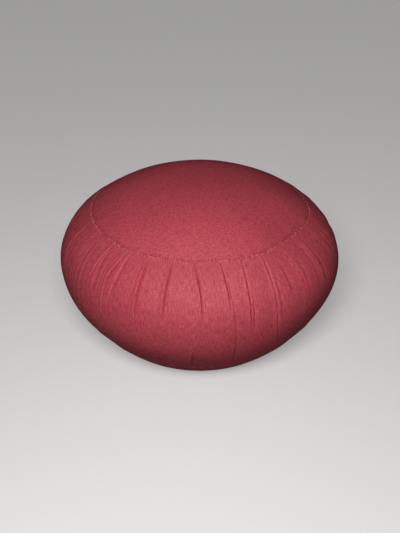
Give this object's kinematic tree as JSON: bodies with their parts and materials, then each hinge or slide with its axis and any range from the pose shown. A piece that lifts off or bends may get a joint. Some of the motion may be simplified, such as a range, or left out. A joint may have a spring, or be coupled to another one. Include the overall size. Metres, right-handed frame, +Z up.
{
  "type": "zafu meditation cushion",
  "caption": "Round zafu meditation cushion in rose red cotton: a pleated side band between two round panels, topstitched at the seams",
  "frame": {"origin": "middle of the flat spot that the cushion rests on", "axes": "+Z up through the crown, -Y towards the front, +X to the right seen from the front"},
  "size_m": [0.3404, 0.3417, 0.2065],
  "materials": {
    "panel_cloth": "plain-woven rose red cotton canvas with slight slubs, matt",
    "band_cloth": "the same plain-woven rose red cotton, tucked at both seams, matt"
  },
  "bodies": {
    "root": {"top_panel": "panel_cloth", "pleated_band": "band_cloth", "bottom_panel": "panel_cloth"}
  },
  "joints": []
}
